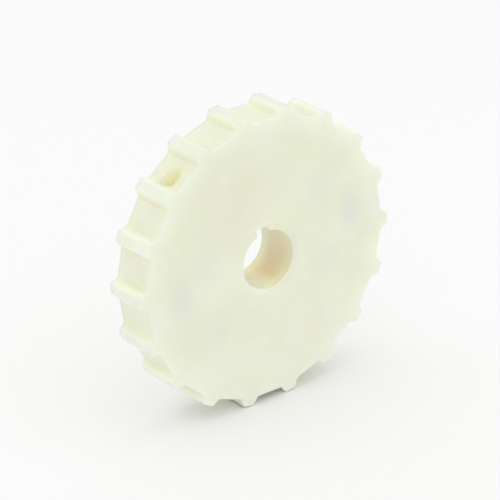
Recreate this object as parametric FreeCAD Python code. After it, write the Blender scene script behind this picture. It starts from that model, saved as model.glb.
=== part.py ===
import FreeCAD, Part
import math
import os
from FreeCAD import Vector

# Split belt sprocket: two toothed halves close round a keyed shaft and are held by two screws and two pins.
# Millimetres. The wheel's axis is Y, its front face looks along -Y, and the origin is the bore's centre.
# Each piece is modelled with the split level, and the wheel is then turned to stand on two teeth.

# Toothed disc
tooth_count = 18
outside_diameter = 152.0
tooth_height = 4.6
crest_width = 5.7
tooth_base_width = 10.4
root_fillet = 1.5
crest_round = 0.5
face_width = 24.0
edge_chamfer = 0.4

# Shaft bore and keyway
bore_diameter = 30.0
bore_chamfer = 0.5
key_width = 8.0
key_depth = 3.3

# Socket-head cap screws across the split, set in from the flats between the teeth
screw_inset = 33.4
screw_seat_height = 22.0
screw_length = 45.0
screw_diameter = 5.0
screw_head_diameter = 8.5
screw_head_height = 5.0
screw_head_chamfer = 0.4
screw_end_chamfer = 0.6
socket_across_flats = 4.0
socket_depth = 2.5
shank_clearance = 0.25
head_clearance = 0.75
tapped_run_out = 4.0

# Locating pins across the split, set in from the same flats
pin_inset = 17.4
pin_diameter = 8.0
pin_length = 16.0
pin_chamfer = 0.8
pin_end_gap = 0.5

# Worked out from the sizes above
axis = Vector(0, 1, 0)
origin = Vector(0, 0, 0)
outside_radius = outside_diameter / 2
land_radius = outside_radius - tooth_height
pitch_angle = 2 * math.pi / tooth_count
key_angle = math.pi / 2
standing_turn = math.degrees(pitch_angle / 2)
bore_radius = bore_diameter / 2
key_floor_height = bore_radius + key_depth
screw_offset = land_radius - screw_inset
pin_offset = land_radius - pin_inset
thread_depth = screw_length - screw_seat_height
half_turn = 180
hexagon_sides = 6


def on_face(radial, tangential, angle):
    """Point of the outline: a distance along the tooth's centre line and one across it."""
    along = Vector(math.cos(angle), 0, math.sin(angle))
    across = Vector(-math.sin(angle), 0, math.cos(angle))
    return along * radial + across * tangential


def tooth_corners(angle):
    """Corners of one trapezoid tooth, each with its rounding: foot, crest, crest, foot."""
    half_crest = crest_width / 2
    half_base = tooth_base_width / 2
    crest_reach = math.sqrt(outside_radius**2 - half_crest**2)
    half_pitch = pitch_angle / 2
    foot_reach = (land_radius - half_base * math.sin(half_pitch)) / math.cos(half_pitch)
    return [
        (on_face(foot_reach, -half_base, angle), root_fillet),
        (on_face(crest_reach, -half_crest, angle), crest_round),
        (on_face(crest_reach, half_crest, angle), crest_round),
        (on_face(foot_reach, half_base, angle), root_fillet),
    ]


def corner_arc(before, corner, after, radius):
    """Start, middle and end of the arc that rounds one corner of the outline."""
    back = (before - corner).normalize()
    ahead = (after - corner).normalize()
    half_angle = back.getAngle(ahead) / 2
    inward = (back + ahead).normalize()
    tangent_length = radius / math.tan(half_angle)
    middle_reach = radius / math.sin(half_angle) - radius
    return corner + back * tangent_length, corner + inward * middle_reach, corner + ahead * tangent_length


def rounded_outline(corners):
    """Closed wire through the corners, each one replaced by its arc."""
    points = [point for point, radius in corners]
    arcs = []
    for index, (corner, radius) in enumerate(corners):
        following = points[(index + 1) % len(points)]
        arcs.append(corner_arc(points[index - 1], corner, following, radius))
    edges = []
    for index, (start, middle, end) in enumerate(arcs):
        previous_end = arcs[index - 1][2]
        edges.append(Part.LineSegment(previous_end, start).toShape())
        edges.append(Part.Arc(start, middle, end).toShape())
    return Part.Wire(edges)


def toothed_blank():
    """Solid disc with its teeth, chamfered round both faces."""
    corners = []
    for index in range(tooth_count):
        corners += tooth_corners(key_angle + index * pitch_angle)
    outline = rounded_outline(corners)
    front = Part.Face(outline)
    front.translate(axis * (-face_width / 2))
    disc = front.extrude(axis * face_width)
    rim_edges = [edge for edge in disc.Edges if edge.BoundBox.YLength < edge_chamfer / 2]
    return disc.makeChamfer(edge_chamfer, rim_edges)


def shaft_bore():
    """Tool for the bore: a cylinder that opens out at both faces by its chamfer."""
    straight = Part.makeCylinder(bore_radius, face_width, axis * (-face_width / 2), axis)
    flare_radius = bore_radius + bore_chamfer
    tool = straight
    for side in (-1, 1):
        mouth = axis * (side * face_width / 2)
        cone = Part.makeCone(flare_radius, bore_radius, bore_chamfer, mouth, axis * -side)
        tool = tool.fuse(cone)
    return tool


def keyway():
    """Tool for the keyway: a straight slot above the bore, along the whole width."""
    corner = Vector(-key_width / 2, -face_width / 2, 0)
    return Part.makeBox(key_width, face_width, key_floor_height, corner)


def upright_cylinder(diameter, height, across, bottom):
    """Cylinder that stands on the split's normal at a distance along the split."""
    return Part.makeCylinder(diameter / 2, height, Vector(across, 0, bottom))


def screw_holes(across):
    """Tool for one screw: access hole above its head, shank hole, and tapped hole below the split."""
    access_diameter = screw_head_diameter + 2 * head_clearance
    shank_hole_diameter = screw_diameter + 2 * shank_clearance
    tapped_depth = thread_depth + tapped_run_out
    access = upright_cylinder(access_diameter, outside_radius, across, screw_seat_height)
    shank = upright_cylinder(shank_hole_diameter, screw_seat_height, across, 0)
    tapped = upright_cylinder(screw_diameter, tapped_depth, across, -tapped_depth)
    return access.fuse([shank, tapped])


def pin_hole(across):
    """Tool for one pin: an equal depth in both halves."""
    depth = pin_length / 2 + pin_end_gap
    return upright_cylinder(pin_diameter, 2 * depth, across, -depth)


def turned_half_way(shape):
    """Copy of a shape turned half way round the wheel's axis."""
    copy = shape.copy()
    copy.rotate(origin, axis, half_turn)
    return copy


def half_space(side):
    """Block on one side of the split, wide enough for the whole disc."""
    block = Part.makeBox(outside_diameter, face_width, outside_radius)
    block.translate(Vector(-outside_radius, -face_width / 2, 0))
    if side > 0:
        return block
    return turned_half_way(block)


def machined_disc():
    """Whole disc with its bore, keyway, screw holes and pin holes."""
    left_screw_holes = screw_holes(-screw_offset)
    tools = [
        shaft_bore(),
        keyway(),
        left_screw_holes,
        turned_half_way(left_screw_holes),
        pin_hole(-pin_offset),
        pin_hole(pin_offset),
    ]
    return toothed_blank().cut(tools)


def hex_socket():
    """Tool for the screw's hexagon socket, with its bottom at the origin."""
    corner_radius = socket_across_flats / math.sqrt(3)
    corners = []
    for index in range(hexagon_sides + 1):
        angle = index * 2 * math.pi / hexagon_sides
        corners.append(Vector(corner_radius * math.cos(angle), corner_radius * math.sin(angle), 0))
    return Part.Face(Part.makePolygon(corners)).extrude(Vector(0, 0, socket_depth))


def ring_edges(shape, height):
    """Round edges of an upright shape that lie at one height."""
    tolerance = 1e-6
    return [
        edge for edge in shape.Edges
        if edge.BoundBox.ZLength < tolerance and abs(edge.BoundBox.ZMin - height) < tolerance
    ]


def cap_screw(across):
    """Socket-head cap screw with its head seated above the split and its thread below it."""
    head_top = screw_seat_height + screw_head_height
    head = upright_cylinder(screw_head_diameter, screw_head_height, across, screw_seat_height)
    head = head.makeChamfer(screw_head_chamfer, ring_edges(head, head_top))
    shank = upright_cylinder(screw_diameter, screw_length, across, -thread_depth)
    shank = shank.makeChamfer(screw_end_chamfer, ring_edges(shank, -thread_depth))
    socket = hex_socket()
    socket.translate(Vector(across, 0, head_top - socket_depth))
    return head.fuse(shank).removeSplitter().cut(socket)


def locating_pin(across):
    """Plain pin with chamfered ends, half of it in each half of the wheel."""
    pin = upright_cylinder(pin_diameter, pin_length, across, -pin_length / 2)
    ends = ring_edges(pin, -pin_length / 2) + ring_edges(pin, pin_length / 2)
    return pin.makeChamfer(pin_chamfer, ends)


def sprocket_pieces():
    """Every piece by its node name, with the split level."""
    disc = machined_disc()
    screw = cap_screw(-screw_offset)
    return {
        "upper_half": disc.common(half_space(1)),
        "lower_half": disc.common(half_space(-1)),
        "left_screw": screw,
        "right_screw": turned_half_way(screw),
        "left_pin": locating_pin(-pin_offset),
        "right_pin": locating_pin(pin_offset),
    }


def export_pieces():
    """Turns the wheel to stand on two teeth and writes one file for each piece, which is one solid."""
    os.makedirs("parts", exist_ok=True)
    for name, shape in sprocket_pieces().items():
        shape.rotate(origin, axis, -standing_turn)
        (solid,) = shape.Solids
        solid.exportStep("parts/" + name + ".step")


export_pieces()
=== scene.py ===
import math
from types import SimpleNamespace

import bmesh
import bpy
from mathutils import Matrix, Vector


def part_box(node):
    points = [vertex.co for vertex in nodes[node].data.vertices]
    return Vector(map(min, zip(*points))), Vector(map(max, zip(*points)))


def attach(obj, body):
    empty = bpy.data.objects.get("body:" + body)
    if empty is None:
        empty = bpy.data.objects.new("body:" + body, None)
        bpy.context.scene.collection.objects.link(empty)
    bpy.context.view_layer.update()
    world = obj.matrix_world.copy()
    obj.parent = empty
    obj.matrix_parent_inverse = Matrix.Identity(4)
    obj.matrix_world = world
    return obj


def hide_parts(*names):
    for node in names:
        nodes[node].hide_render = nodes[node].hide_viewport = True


# Split belt sprocket of natural nylon: finishes for its two halves, screws and pins, and a plain studio.
# Metres, in the part's own frame: the wheel's axis is Y, its front face looks along -Y, and +Z is up.
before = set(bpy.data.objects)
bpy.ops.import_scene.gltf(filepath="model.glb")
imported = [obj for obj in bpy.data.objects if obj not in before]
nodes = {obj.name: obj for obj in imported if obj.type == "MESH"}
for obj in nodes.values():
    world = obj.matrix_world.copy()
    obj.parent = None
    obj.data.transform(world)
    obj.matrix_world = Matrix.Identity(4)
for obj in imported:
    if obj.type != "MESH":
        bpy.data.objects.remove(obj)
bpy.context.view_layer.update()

MM = 0.001

# Camera, fitted to the photograph's outline of the wheel
camera_azimuth = math.radians(-38.51)
camera_elevation = math.radians(24.927)
camera_roll = math.radians(-0.905)
camera_distance = 1.218
camera_lens = 182.4
aim_right = -1.334 * MM
aim_up = 0.916 * MM

# Wheel, in millimetres, for the patterns on its surface
face_depth = 12.0
bore_radius = 15.0
keyway_reach = 19.5
access_hole_radius = 5.0
access_hole_inner_end = 30.0
outside_radius = 76.0
land_radius = 71.4
tooth_half_base = 5.2
tooth_half_crest = 2.85
half_pitch = math.pi / 18
crest_reach = math.sqrt(outside_radius**2 - tooth_half_crest**2)
foot_reach = (land_radius - tooth_half_base * math.sin(half_pitch)) / math.cos(half_pitch)
flank_lean = math.atan2(tooth_half_base - tooth_half_crest, crest_reach - foot_reach)

# Shades on the faces, in millimetres: the warm place, and how far the steel's shadows lie from its middle
# lines, toward the bore, and from the split
warm_side = -18.0
warm_height = 30.0
pin_shadow_inset = 1.5
pin_shadow_rise = 3.0
screw_shadow_inset = 2.5
head_shadow_rise = 15.0
thread_shadow_drop = 23.0

# Finishes, in millimetres: tool marks, scratches, how far light goes into the nylon, and how much further
# in the bore and the access holes
facing_pitch = 0.35
milling_pitch = 0.5
turning_pitch = 0.12
grinding_pitch = 0.05
mark_depth = 0.004
scratch_depth = 0.01
light_reach = 5.0
bore_light_reach = 13.0
hole_light_reach = 45.0

# Socket-head cap screws, in millimetres, with heights above the split
seat_height = 22.0
head_height = 5.0
head_radius = 4.25
head_chamfer = 0.4
under_head_chamfer = 0.3
neck_chamfer = 0.2
knurl_count = 36
knurl_depth = 0.15
socket_half_width = 2.0
socket_depth = 2.5
socket_mouth_width = 0.15
socket_mouth_depth = 0.2
thread_radius = 2.5
core_radius = 2.05
core_chamfer = 0.5
thread_pitch = 0.8
thread_steps = 24
thread_top = -1.0
thread_end = -23.0
thread_top_gap = 0.3
thread_end_gap = 0.6
thread_root_sink = 0.1
ridge_half_share = 0.42

# Studio, in metres
floor_half_width = 4.0
lamp_place = (-0.1, -0.2, 1.2)
lamp_width = 1.4
lamp_power = 1.5


def node_centre(name):
    """Middle of a CAD node's box."""
    low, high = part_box(name)
    return (low + high) / 2


def node_reach(name, direction):
    """Lowest and highest distance of a CAD node's points along a direction."""
    distances = [vertex.co.dot(direction) for vertex in nodes[name].data.vertices]
    return min(distances), max(distances)


split_direction = (node_centre("right_pin") - node_centre("left_pin")).normalized()
split_normal = Vector((-split_direction.z, 0, split_direction.x))
floor_height = min(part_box(half)[0].z for half in ("upper_half", "lower_half"))
pin_offset = node_centre("right_pin").dot(split_direction) / MM
screw_offset = sum(node_reach("right_screw", split_direction)) / 2 / MM


def rgb(red, green, blue):
    """Colour of a shader socket, from the 0 to 255 levels that it shows as on a screen."""
    def linear(level):
        share = level / 255
        if share <= 0.04045:
            return share / 12.92
        return ((share + 0.055) / 1.055) ** 2.4
    return (linear(red), linear(green), linear(blue), 1.0)


def connect(tree, value, socket):
    """Links a value that is a socket, or writes it on the socket."""
    if isinstance(value, bpy.types.NodeSocket):
        tree.links.new(value, socket)
    else:
        socket.default_value = value


def add_math(tree, operation, *values):
    """Math node, returned as its output."""
    node = tree.nodes.new("ShaderNodeMath")
    node.operation = operation
    for value, socket in zip(values, node.inputs):
        connect(tree, value, socket)
    return node.outputs["Value"]


def add_product(tree, *values):
    """Several values multiplied together."""
    result = values[0]
    for value in values[1:]:
        result = add_math(tree, "MULTIPLY", result, value)
    return result


def add_hypotenuse(tree, first, second):
    """Distance made by two offsets at right angles."""
    squares = [add_math(tree, "POWER", offset, 2.0) for offset in (first, second)]
    return add_math(tree, "SQRT", add_math(tree, "ADD", *squares))


def add_vector(tree, operation, *values):
    """Vector math node, returned as the node."""
    node = tree.nodes.new("ShaderNodeVectorMath")
    node.operation = operation
    for value, socket in zip(values, node.inputs):
        connect(tree, value, socket)
    return node


def add_fade(tree, value, start, end, low=0.0, high=1.0):
    """Smooth step of a value, from low at its start to high at its end."""
    node = tree.nodes.new("ShaderNodeMapRange")
    node.interpolation_type = "SMOOTHSTEP"
    connect(tree, value, node.inputs["Value"])
    connect(tree, start, node.inputs["From Min"])
    connect(tree, end, node.inputs["From Max"])
    connect(tree, low, node.inputs["To Min"])
    connect(tree, high, node.inputs["To Max"])
    return node.outputs["Result"]


def add_tint(tree, amount, colour, other, blend="MIX"):
    """Mix of two colours, from the first at amount 0 to the other at amount 1."""
    node = tree.nodes.new("ShaderNodeMix")
    node.data_type = "RGBA"
    node.blend_type = blend
    connect(tree, amount, node.inputs["Factor"])
    connect(tree, colour, node.inputs[6])
    connect(tree, other, node.inputs[7])
    return node.outputs[2]


def add_noise(tree, place, scale, detail=2.0, roughness=0.5):
    """Noise texture from 0 to 1 on a place."""
    node = tree.nodes.new("ShaderNodeTexNoise")
    connect(tree, place, node.inputs["Vector"])
    node.inputs["Scale"].default_value = scale
    node.inputs["Detail"].default_value = detail
    node.inputs["Roughness"].default_value = roughness
    return node.outputs["Fac"]


def add_bump(tree, height, distance, strength=1.0, normal=None):
    """Bump node on a height from 0 to 1, as deep as the distance."""
    node = tree.nodes.new("ShaderNodeBump")
    connect(tree, height, node.inputs["Height"])
    node.inputs["Distance"].default_value = distance
    node.inputs["Strength"].default_value = strength
    if normal is not None:
        connect(tree, normal, node.inputs["Normal"])
    return node.outputs["Normal"]


def new_group(name, inputs, outputs):
    """Empty node group with named sockets: its tree, its input node and its output node."""
    tree = bpy.data.node_groups.new(name, "ShaderNodeTree")
    for label, kind, default in inputs:
        socket = tree.interface.new_socket(label, in_out="INPUT", socket_type=kind)
        if default is not None:
            socket.default_value = default
    for label, kind in outputs:
        tree.interface.new_socket(label, in_out="OUTPUT", socket_type=kind)
    return tree, tree.nodes.new("NodeGroupInput"), tree.nodes.new("NodeGroupOutput")


def add_group(tree, group, **values):
    """Places a group in a tree, with its own values."""
    node = tree.nodes.new("ShaderNodeGroup")
    node.node_tree = group
    for label, value in values.items():
        connect(tree, value, node.inputs[label])
    return node


def tool_marks_group():
    """Fine uneven lines that a cutter leaves, one for each step of a distance in millimetres."""
    tree, inside, outside = new_group(
        "tool_marks",
        [("Distance", "NodeSocketFloat", 0.0), ("Pitch", "NodeSocketFloat", 0.3)],
        [("Height", "NodeSocketFloat"), ("Sheen", "NodeSocketFloat")],
    )
    steps = add_math(tree, "DIVIDE", inside.outputs["Distance"], inside.outputs["Pitch"])
    fine = tree.nodes.new("ShaderNodeTexNoise")
    fine.noise_dimensions = "1D"
    connect(tree, steps, fine.inputs["W"])
    fine.inputs["Scale"].default_value = 1.0
    fine.inputs["Detail"].default_value = 1.0
    broad = tree.nodes.new("ShaderNodeTexNoise")
    broad.noise_dimensions = "1D"
    connect(tree, steps, broad.inputs["W"])
    broad.inputs["Scale"].default_value = 0.12
    broad.inputs["Detail"].default_value = 2.0
    connect(tree, fine.outputs["Fac"], outside.inputs["Height"])
    connect(tree, broad.outputs["Fac"], outside.inputs["Sheen"])
    return tree


def handling_group():
    """Soft smudges and faint short scratches, as fingers and packing leave on any finish."""
    tree, inside, outside = new_group(
        "handling",
        [("Place", "NodeSocketVector", None), ("Size", "NodeSocketFloat", 1.0)],
        [("Smudge", "NodeSocketFloat"), ("Scratch", "NodeSocketFloat")],
    )
    scaled = add_vector(tree, "SCALE", inside.outputs["Place"])
    connect(tree, add_math(tree, "DIVIDE", 1.0, inside.outputs["Size"]), scaled.inputs["Scale"])
    place = scaled.outputs["Vector"]
    smudge = add_fade(tree, add_noise(tree, place, 0.06, 3.0), 0.4, 0.7)
    bent = add_vector(tree, "MULTIPLY", place, (1.0, 0.12, 0.12)).outputs["Vector"]
    lines = add_noise(tree, bent, 0.9, 1.0, 0.4)
    ridge = add_math(tree, "ABSOLUTE", add_math(tree, "SUBTRACT", lines, 0.5))
    scratch = add_fade(tree, ridge, 0.0, 0.006, 1.0, 0.0)
    patch = add_fade(tree, add_noise(tree, place, 0.11, 1.0), 0.55, 0.66)
    connect(tree, smudge, outside.inputs["Smudge"])
    connect(tree, add_product(tree, scratch, patch), outside.inputs["Scratch"])
    return tree


def new_material(name):
    """Material with its Principled shader, and the place on the surface in millimetres."""
    material = bpy.data.materials.new(name)
    material.use_nodes = True
    tree = material.node_tree
    coordinates = tree.nodes.new("ShaderNodeTexCoord")
    scaled = add_vector(tree, "SCALE", coordinates.outputs["Object"])
    scaled.inputs["Scale"].default_value = 1 / MM
    return material, tree, tree.nodes["Principled BSDF"], scaled.outputs["Vector"]


def wheel_places(tree, place):
    """Measures of a place on the wheel, in millimetres, by name."""
    parts = tree.nodes.new("ShaderNodeSeparateXYZ")
    connect(tree, place, parts.inputs["Vector"])
    flat = add_vector(tree, "MULTIPLY", place, (1.0, 0.0, 1.0)).outputs["Vector"]
    radius = add_vector(tree, "LENGTH", flat).outputs["Value"]
    along = add_vector(tree, "DOT_PRODUCT", place, split_direction).outputs["Value"]
    across = add_vector(tree, "DOT_PRODUCT", place, split_normal).outputs["Value"]
    depth = add_math(tree, "ABSOLUTE", parts.outputs["Y"])

    # Beside the middle line of the nearest tooth
    angle = add_math(tree, "ARCTAN2", parts.outputs["Z"], parts.outputs["X"])
    turn = add_math(tree, "ABSOLUTE", add_math(tree, "WRAP", angle, half_pitch, -half_pitch))
    forward = add_product(tree, radius, add_math(tree, "COSINE", turn))
    sideways = add_product(tree, radius, add_math(tree, "SINE", turn))
    before_foot = add_math(tree, "SUBTRACT", foot_reach, forward)
    inside_foot = add_math(tree, "SUBTRACT", tooth_half_base, sideways)

    # Inside the toothed outline
    to_land_middle = add_math(tree, "COSINE", add_math(tree, "SUBTRACT", half_pitch, turn))
    under_land = add_math(tree, "SUBTRACT", land_radius, add_product(tree, radius, to_land_middle))
    under_flank = add_math(
        tree, "ADD",
        add_product(tree, before_foot, math.sin(flank_lean)),
        add_product(tree, inside_foot, math.cos(flank_lean)),
    )
    under_crest = add_math(tree, "SUBTRACT", crest_reach, forward)
    inset = add_math(tree, "MAXIMUM", under_land, add_math(tree, "MINIMUM", under_flank, under_crest))
    on_face = add_fade(tree, depth, face_depth - 0.1, face_depth - 0.02)
    return SimpleNamespace(
        radius=radius,
        along=along,
        across=across,
        beside_axis=add_math(tree, "ABSOLUTE", along),
        off_split=add_math(tree, "ABSOLUTE", across),
        depth=depth,
        side=parts.outputs["X"],
        level=parts.outputs["Y"],
        height=parts.outputs["Z"],
        under_land=under_land,
        under_crest=under_crest,
        from_foot=add_hypotenuse(tree, before_foot, inside_foot),
        from_edge=add_math(tree, "MAXIMUM", inset, add_math(tree, "SUBTRACT", face_depth, depth)),
        on_face=on_face,
        off_face=add_math(tree, "SUBTRACT", 1.0, on_face),
    )


def away_from(tree, value, middle, start, end):
    """Fade from 1 near a middle value to 0 away from it, on both sides."""
    distance = add_math(tree, "ABSOLUTE", add_math(tree, "SUBTRACT", value, middle))
    return add_fade(tree, distance, start, end, 1.0, 0.0)


def hole_places(tree, wheel):
    """How far a place is inside an access hole, round it or at its front edge, each from 0 to 1."""
    half_sign = add_math(tree, "SIGN", wheel.across)
    beside = add_math(tree, "ADD", wheel.along, add_product(tree, half_sign, screw_offset))
    from_axis = add_hypotenuse(tree, beside, wheel.depth)
    past_wall = add_math(tree, "SUBTRACT", from_axis, access_hole_radius)
    beyond_end = add_fade(tree, wheel.radius, access_hole_inner_end, access_hole_inner_end + 1.0)
    return SimpleNamespace(
        inside=add_product(tree, add_fade(tree, past_wall, 0.05, 0.3, 1.0, 0.0), beyond_end),
        # Masks for the painted warm halo round each mouth, and for its front edge
        around=add_product(
            tree,
            add_fade(tree, past_wall, 0.0, 3.5, 0.9, 0.0),
            add_fade(tree, wheel.level, -3.0, 4.0, 1.0, 0.4),
            beyond_end,
        ),
        painted_front_edge=add_product(
            tree,
            add_fade(tree, past_wall, 0.0, 2.8, 0.9, 0.0),
            add_fade(tree, wheel.level, -2.0, 2.0, 1.0, 0.0),
            beyond_end,
        ),
    )


def nylon_colour_and_light(tree, wheel, place):
    """Ivory nylon, with painted light: pale along the faces' outline and on the teeth, yellower at their
    feet.
    """
    # Painted glow: the faces paler and bluer toward their outline, where light comes through the thin
    # nylon
    margin = add_product(tree, add_fade(tree, wheel.from_edge, 0.0, 13.0, 0.9, 0.0), wheel.on_face)
    colour = add_tint(tree, margin, rgb(234, 237, 216), rgb(236, 241, 225))
    # Painted light: the faces lighter and bluer toward the bottom
    painted_low_light = add_product(tree, add_fade(tree, wheel.height, -15.0, -60.0, 0.0, 0.5), wheel.on_face)
    colour = add_tint(tree, painted_low_light, colour, rgb(240, 241, 229))
    from_warm = add_hypotenuse(
        tree,
        add_math(tree, "SUBTRACT", wheel.side, warm_side),
        add_math(tree, "SUBTRACT", wheel.height, warm_height),
    )
    warm = add_product(tree, add_fade(tree, from_warm, 8.0, 32.0, 0.6, 0.0), wheel.on_face)
    colour = add_tint(tree, warm, colour, rgb(233, 230, 212))

    # Teeth: painted glow of light through the thin nylon, pale on the flanks, on the crests paler toward
    # the left
    on_tooth = add_product(tree, add_fade(tree, wheel.under_land, -2.6, -0.4, 1.0, 0.0), wheel.off_face)
    painted_crest_light = add_tint(
        tree, add_fade(tree, wheel.side, -75.0, 35.0), rgb(233, 238, 225), rgb(225, 232, 218)
    )
    painted_tooth_glow = add_tint(
        tree, add_fade(tree, wheel.under_crest, 0.1, 0.9), painted_crest_light, rgb(240, 244, 228)
    )
    colour = add_tint(tree, on_tooth, colour, painted_tooth_glow)

    # Ring round the bore: painted glow at its mouth, paler and bluer toward the lower left
    around_bore = add_hypotenuse(
        tree,
        add_math(tree, "SUBTRACT", wheel.radius, bore_radius + 1.0),
        add_math(tree, "SUBTRACT", wheel.depth, face_depth),
    )
    upper_right = add_fade(tree, add_math(tree, "ADD", wheel.side, wheel.height), -20.0, -5.0)
    painted_ring_glow = add_tint(tree, upper_right, rgb(235, 239, 222), rgb(229, 231, 211))
    colour = add_tint(tree, add_fade(tree, around_bore, 0.0, 4.5, 0.9, 0.0), colour, painted_ring_glow)

    # Rim between the teeth, and its two edges, with painted light at the teeth's feet and the front edge
    # Painted light: yellower in the corners at the teeth's feet
    painted_foot_light = add_product(
        tree,
        add_fade(tree, wheel.from_foot, 0.0, 3.5, 0.6, 0.0),
        wheel.off_face,
        add_math(tree, "SUBTRACT", 1.0, on_tooth),
    )
    colour = add_tint(tree, painted_foot_light, colour, rgb(243, 244, 213))
    # Painted glow along the rim's front edge; a faint bluish band along the back edge
    near_front = add_fade(tree, wheel.level, -face_depth, -9.5, 0.6, 0.0)
    painted_front_edge = add_product(tree, near_front, wheel.off_face)
    colour = add_tint(tree, painted_front_edge, colour, rgb(237, 241, 232))
    back_edge = add_product(tree, add_fade(tree, wheel.level, 9.0, 11.5), wheel.off_face)
    colour = add_tint(tree, back_edge, colour, rgb(247, 248, 255), "MULTIPLY")
    cloud = add_fade(tree, add_noise(tree, place, 0.045, 3.0), 0.35, 0.65)
    return add_tint(tree, cloud, colour, rgb(252, 252, 250), "MULTIPLY")


def hole_painted_light(tree, wheel, hole, colour):
    """Colour with painted light: warm access hole walls, brightest deep in, and a warmer ring round their
    mouths.
    """
    painted_hole_wall = add_tint(
        tree, add_fade(tree, wheel.under_land, 0.5, 6.0), rgb(230, 233, 215), rgb(255, 251, 213)
    )
    colour = add_tint(tree, hole.around, colour, rgb(236, 236, 200))
    colour = add_tint(tree, hole.painted_front_edge, colour, rgb(234, 228, 184))
    return add_tint(tree, hole.inside, colour, painted_hole_wall)


def bore_painted_light(tree, wheel):
    """Painted light and shade on the bore's and keyway's walls, warmest half way through and on the
    right.
    """
    # Painted light and shade: lighter high up, at the back mouth and the bottom, darker at the lips
    high = add_fade(tree, wheel.height, -8.0, 9.0)
    middle = add_tint(tree, high, rgb(229, 216, 181), rgb(238, 228, 198))
    mouth = add_tint(tree, high, rgb(227, 224, 193), rgb(240, 236, 209))
    colour = add_tint(tree, add_fade(tree, wheel.depth, 3.0, 11.0), middle, mouth)
    back_mouth = add_product(
        tree,
        add_fade(tree, wheel.level, 4.0, 11.0),
        add_fade(tree, wheel.height, -14.0, -4.0),
        0.7,
    )
    colour = add_tint(tree, back_mouth, colour, rgb(236, 237, 221))
    bottom = add_fade(tree, wheel.height, -14.9, -12.5, 0.8, 0.0)
    colour = add_tint(tree, bottom, colour, rgb(242, 234, 202))
    lip = add_tint(tree, high, rgb(219, 221, 190), rgb(232, 227, 198))
    colour = add_tint(tree, add_fade(tree, wheel.depth, 9.5, face_depth, 0.0, 0.8), colour, lip)
    left = add_tint(tree, add_fade(tree, wheel.level, -2.0, 7.0), rgb(230, 236, 220), rgb(223, 223, 199))
    colour = add_tint(tree, add_fade(tree, wheel.side, -5.0, 10.0), left, colour)
    # Painted light: pale keyway walls
    in_keyway = add_product(
        tree,
        add_fade(tree, wheel.radius, bore_radius + 0.2, bore_radius + 0.8),
        add_fade(tree, wheel.depth, 3.0, 10.0, 0.5, 1.0),
    )
    return add_tint(tree, in_keyway, colour, rgb(252, 248, 229))


def steel_shadows(tree, wheel, colour):
    """Colour with soft bluish shadows on both faces, where the pins and screws lie buried."""
    pins = add_product(
        tree,
        away_from(tree, wheel.beside_axis, pin_offset - pin_shadow_inset, 0.0, 11.5),
        away_from(tree, wheel.across, pin_shadow_rise, 0.0, 16.0),
        wheel.on_face,
        0.8,
    )
    toward_head = add_product(tree, wheel.across, add_math(tree, "SIGN", wheel.along), -1.0)
    head_side = away_from(tree, toward_head, head_shadow_rise, 0.0, 15.0)
    thread_side = away_from(tree, toward_head, -thread_shadow_drop, 0.0, 16.0)
    screws = add_product(
        tree,
        away_from(tree, wheel.beside_axis, screw_offset - screw_shadow_inset, 0.0, 13.0),
        add_math(tree, "MAXIMUM", head_side, thread_side),
        wheel.on_face,
        0.75,
    )
    colour = add_tint(tree, pins, colour, rgb(222, 226, 215))
    return add_tint(tree, screws, colour, rgb(228, 231, 218))


def natural_nylon(tool_marks, handling):
    """Finish of the two halves: machined natural nylon that lets light a little way in."""
    material, tree, shader, place = new_material("natural_nylon")
    wheel = wheel_places(tree, place)
    hole = hole_places(tree, wheel)
    in_bore = add_product(
        tree, add_fade(tree, wheel.radius, keyway_reach, keyway_reach + 0.5, 1.0, 0.0), wheel.off_face
    )
    colour = nylon_colour_and_light(tree, wheel, place)
    colour = hole_painted_light(tree, wheel, hole, colour)
    colour = add_tint(tree, in_bore, colour, bore_painted_light(tree, wheel))
    colour = steel_shadows(tree, wheel, colour)

    # Hairline where the halves meet
    seam = add_fade(tree, wheel.off_split, 0.05, 0.22, 0.07, 0.0)
    colour = add_tint(tree, seam, colour, rgb(205, 205, 190), "MULTIPLY")
    connect(tree, colour, shader.inputs["Base Color"])

    # Faced sides and milled rim
    face_marks = add_group(tree, tool_marks, Distance=wheel.radius, Pitch=facing_pitch)
    rim_marks = add_group(tree, tool_marks, Distance=wheel.level, Pitch=milling_pitch)
    height = add_math(
        tree, "ADD",
        add_product(tree, face_marks.outputs["Height"], wheel.on_face),
        add_product(tree, rim_marks.outputs["Height"], wheel.off_face),
    )
    touched = add_group(tree, handling, Place=place, Size=1.0)
    sheen = add_product(tree, face_marks.outputs["Sheen"], wheel.on_face)
    roughness = add_math(tree, "ADD", 0.46, add_product(tree, sheen, 0.06))
    roughness = add_math(tree, "SUBTRACT", roughness, add_product(tree, touched.outputs["Smudge"], 0.05))
    connect(tree, roughness, shader.inputs["Roughness"])
    marks = add_bump(tree, height, mark_depth * MM)
    scratched = add_bump(tree, touched.outputs["Scratch"], -scratch_depth * MM, 0.5, marks)
    connect(tree, scratched, shader.inputs["Normal"])

    # Light goes in, less at thin edges, and not beside the split, where the gap would swallow it
    margin = add_math(tree, "SUBTRACT", 7.0, add_product(tree, wheel.on_face, 3.0))
    inside_edge = add_fade(tree, wheel.from_edge, 0.0, margin, 0.2, 1.0)
    lip = add_product(tree, in_bore, add_fade(tree, wheel.depth, 9.5, face_depth - 0.5, 0.0, 0.8))
    clear_of_split = add_fade(tree, wheel.off_split, 3.0, 15.0)
    let_in = add_product(tree, inside_edge, clear_of_split, add_math(tree, "SUBTRACT", 1.0, lip))
    connect(tree, let_in, shader.inputs["Subsurface Weight"])
    shader.inputs["Subsurface Radius"].default_value = (1.0, 0.7, 0.4)
    in_bore_reach = add_product(tree, in_bore, bore_light_reach * MM)
    in_hole_reach = add_product(tree, hole.inside, hole_light_reach * MM)
    reach = add_math(tree, "ADD", light_reach * MM, in_bore_reach)
    reach = add_math(tree, "ADD", reach, in_hole_reach)
    connect(tree, reach, shader.inputs["Subsurface Scale"])
    shader.inputs["IOR"].default_value = 1.53
    return material


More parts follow.
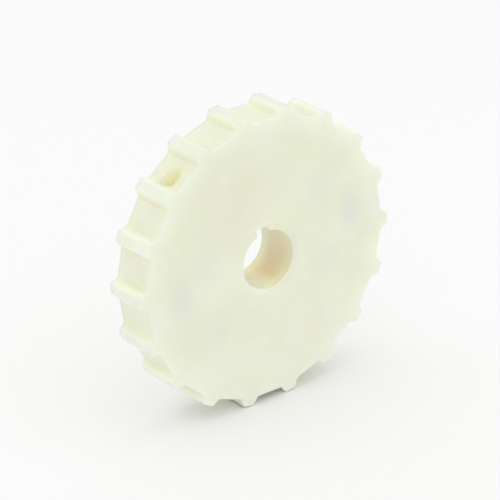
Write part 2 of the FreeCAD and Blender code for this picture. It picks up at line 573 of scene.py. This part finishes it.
def turned_steel(name, along, tool_marks, handling, pitch, roughness):
    """Stainless steel with turning or grinding marks across a direction."""
    material, tree, shader, place = new_material(name)
    distance = add_vector(tree, "DOT_PRODUCT", place, along).outputs["Value"]
    marks = add_group(tree, tool_marks, Distance=distance, Pitch=pitch)
    touched = add_group(tree, handling, Place=place, Size=0.4)
    colour = add_tint(tree, touched.outputs["Smudge"], rgb(196, 198, 202), rgb(182, 185, 190))
    connect(tree, colour, shader.inputs["Base Color"])
    shader.inputs["Metallic"].default_value = 1.0
    uneven = add_product(tree, marks.outputs["Sheen"], 0.12)
    connect(tree, add_math(tree, "ADD", uneven, roughness), shader.inputs["Roughness"])
    connect(tree, add_bump(tree, marks.outputs["Height"], mark_depth * MM), shader.inputs["Normal"])
    return material


def dress_node(name, material):
    """Gives a CAD node its finish."""
    slots = nodes[name].data.materials
    slots.clear()
    slots.append(material)


def screw_body(shape):
    """Turned body of a socket-head cap screw, upright, with a knurled head and a hexagon socket."""
    head_top = seat_height + head_height
    half_side = math.pi / 6
    tolerance = 0.01
    socket_corner = socket_half_width / math.cos(half_side)
    profile = [
        (0.0, head_top - socket_depth),
        (socket_corner, head_top - socket_depth),
        (socket_corner, head_top - socket_mouth_depth),
        (socket_corner + socket_mouth_width, head_top),
        (head_radius - head_chamfer, head_top),
        (head_radius, head_top - head_chamfer),
        (head_radius, seat_height + under_head_chamfer),
        (head_radius - under_head_chamfer, seat_height),
        (thread_radius + neck_chamfer, seat_height),
        (thread_radius, seat_height - neck_chamfer),
        (thread_radius, thread_top + core_chamfer),
        (core_radius, thread_top),
        (core_radius, thread_end + core_chamfer),
        (core_radius - core_chamfer, thread_end),
        (0.0, thread_end),
    ]
    points = [shape.verts.new((radius, 0, height)) for radius, height in profile]
    edges = [shape.edges.new(pair) for pair in zip(points, points[1:])]
    bmesh.ops.spin(
        shape, geom=points + edges, cent=(0, 0, 0), axis=(0, 0, 1),
        angle=2 * math.pi, steps=2 * knurl_count, use_merge=True,
    )
    bmesh.ops.remove_doubles(shape, verts=shape.verts, dist=0.001)
    for vertex in shape.verts:
        angle = math.atan2(vertex.co.y, vertex.co.x)
        radius = math.hypot(vertex.co.x, vertex.co.y)
        on_knurl = radius > head_radius - tolerance
        in_socket = abs(radius - socket_corner) < tolerance
        if on_knurl and round(angle / math.pi * knurl_count) % 2:
            vertex.co.xy *= 1 - knurl_depth / head_radius
        elif in_socket:
            beside_flat = angle % (2 * half_side) - half_side
            vertex.co.xy *= socket_half_width / math.cos(beside_flat) / radius


def screw_thread(shape):
    """Right-hand thread wound round the screw's core, running out at both ends."""
    start = thread_end + thread_end_gap
    height = thread_top - thread_top_gap - start
    root = core_radius - thread_root_sink
    half_ridge = ridge_half_share * thread_pitch
    corners = [
        shape.verts.new((root, 0, start - half_ridge)),
        shape.verts.new((thread_radius, 0, start)),
        shape.verts.new((root, 0, start + half_ridge)),
    ]
    edges = [shape.edges.new((corners[index - 1], corners[index])) for index in range(3)]
    turns = height / thread_pitch
    steps = round(turns * thread_steps)
    bmesh.ops.spin(
        shape, geom=corners + edges, cent=(0, 0, 0), axis=(0, 0, 1),
        dvec=(0, 0, height / steps), angle=2 * math.pi * turns, steps=steps,
    )
    bmesh.ops.holes_fill(shape, edges=shape.edges, sides=3)
    for vertex in shape.verts:
        radius = math.hypot(vertex.co.x, vertex.co.y)
        if radius > core_radius:
            from_end = min(vertex.co.z - start, start + height - vertex.co.z) / thread_pitch
            grown = root + (thread_radius - root) * min(1.0, 0.1 + from_end)
            vertex.co.xy *= grown / radius


def cap_screw(name, node, turn, material):
    """Socket-head cap screw in a CAD node's place, turned about the wheel's axis."""
    mesh = bpy.data.meshes.new(name)
    whole = bmesh.new()
    for build in (screw_body, screw_thread):
        shape = bmesh.new()
        build(shape)
        part = bpy.data.meshes.new("turning")
        shape.to_mesh(part)
        shape.free()
        whole.from_mesh(part)
        bpy.data.meshes.remove(part)
    bmesh.ops.recalc_face_normals(whole, faces=whole.faces)
    place = Matrix((split_direction, Vector((0, 1, 0)), split_normal)).transposed().to_4x4()
    offset = Matrix.Translation(split_direction * -screw_offset)
    turned = Matrix.Rotation(turn, 4, "Y")
    matrix = Matrix.Scale(MM, 4) @ turned @ offset @ place
    bmesh.ops.transform(whole, matrix=matrix, verts=whole.verts)
    whole.to_mesh(mesh)
    whole.free()
    mesh.shade_smooth()
    mesh.set_sharp_from_angle(angle=math.radians(25))
    mesh.materials.append(material)
    screw = bpy.data.objects.new(name, mesh)
    bpy.context.scene.collection.objects.link(screw)
    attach(screw, "root")
    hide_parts(node)


def studio_floor():
    """Wide pale floor that the wheel stands on."""
    mesh = bpy.data.meshes.new("studio_floor")
    shape = bmesh.new()
    bmesh.ops.create_grid(shape, x_segments=1, y_segments=1, size=floor_half_width)
    bmesh.ops.translate(shape, verts=shape.verts, vec=(0, 0, floor_height))
    shape.to_mesh(mesh)
    shape.free()
    floor = bpy.data.objects.new("studio_floor", mesh)
    bpy.context.scene.collection.objects.link(floor)
    material = bpy.data.materials.new("floor_paper")
    material.use_nodes = True
    shader = material.node_tree.nodes["Principled BSDF"]
    shader.inputs["Base Color"].default_value = rgb(245, 245, 245)
    shader.inputs["Roughness"].default_value = 0.9
    shader.inputs["Specular IOR Level"].default_value = 0.0
    mesh.materials.append(material)


def studio_world(shown):
    """Even white light from all round, which the camera and reflections see as a near-white backdrop."""
    world = bpy.data.worlds.new("studio")
    world.use_nodes = True
    tree = world.node_tree
    rays = tree.nodes.new("ShaderNodeLightPath").outputs
    seen = add_math(tree, "MAXIMUM", rays["Is Camera Ray"], rays["Is Glossy Ray"])
    seen = add_math(tree, "MAXIMUM", seen, rays["Is Transmission Ray"])
    background = tree.nodes["Background"]
    connect(tree, add_tint(tree, seen, (1, 1, 1, 1), shown), background.inputs["Color"])
    background.inputs["Strength"].default_value = 1.0
    bpy.context.scene.world = world


def softbox(name, place, width, power):
    """Square soft lamp that looks at the wheel's middle."""
    lamp = bpy.data.lights.new(name, "AREA")
    lamp.shape = "SQUARE"
    lamp.size = width
    lamp.energy = power
    holder = bpy.data.objects.new(name, lamp)
    holder.location = place
    holder.rotation_euler = (-Vector(place)).to_track_quat("-Z", "Y").to_euler()
    bpy.context.scene.collection.objects.link(holder)


def photo_camera():
    """Camera at the photograph's place and framing."""
    sin_az, cos_az = math.sin(camera_azimuth), math.cos(camera_azimuth)
    sin_el, cos_el = math.sin(camera_elevation), math.cos(camera_elevation)
    back = Vector((sin_az * cos_el, -cos_az * cos_el, sin_el))
    level_right = Vector((cos_az, sin_az, 0))
    level_up = back.cross(level_right)
    right = level_right * math.cos(camera_roll) + level_up * math.sin(camera_roll)
    up = level_up * math.cos(camera_roll) - level_right * math.sin(camera_roll)
    data = bpy.data.cameras.new("camera")
    data.lens = camera_lens
    data.sensor_width = 36
    data.clip_start = 0.01
    data.clip_end = 50
    camera = bpy.data.objects.new("camera", data)
    place = back * camera_distance + right * aim_right + up * aim_up
    turn = Matrix((right, up, back)).transposed().to_4x4()
    camera.matrix_world = Matrix.Translation(place) @ turn
    bpy.context.scene.collection.objects.link(camera)
    bpy.context.scene.camera = camera


tool_marks = tool_marks_group()
handling = handling_group()
nylon = natural_nylon(tool_marks, handling)
screw_steel = turned_steel("screw_steel", split_normal, tool_marks, handling, turning_pitch, 0.24)
pin_steel = turned_steel("pin_steel", split_normal, tool_marks, handling, grinding_pitch, 0.16)
for half in ("upper_half", "lower_half"):
    dress_node(half, nylon)
for pin in ("left_pin", "right_pin"):
    dress_node(pin, pin_steel)
cap_screw("left_cap_screw", "left_screw", 0.0, screw_steel)
cap_screw("right_cap_screw", "right_screw", math.pi, screw_steel)

studio_floor()
studio_world(rgb(248, 248, 248))
softbox("overhead", lamp_place, lamp_width, lamp_power)
photo_camera()
bpy.context.scene.view_settings.view_transform = "Standard"
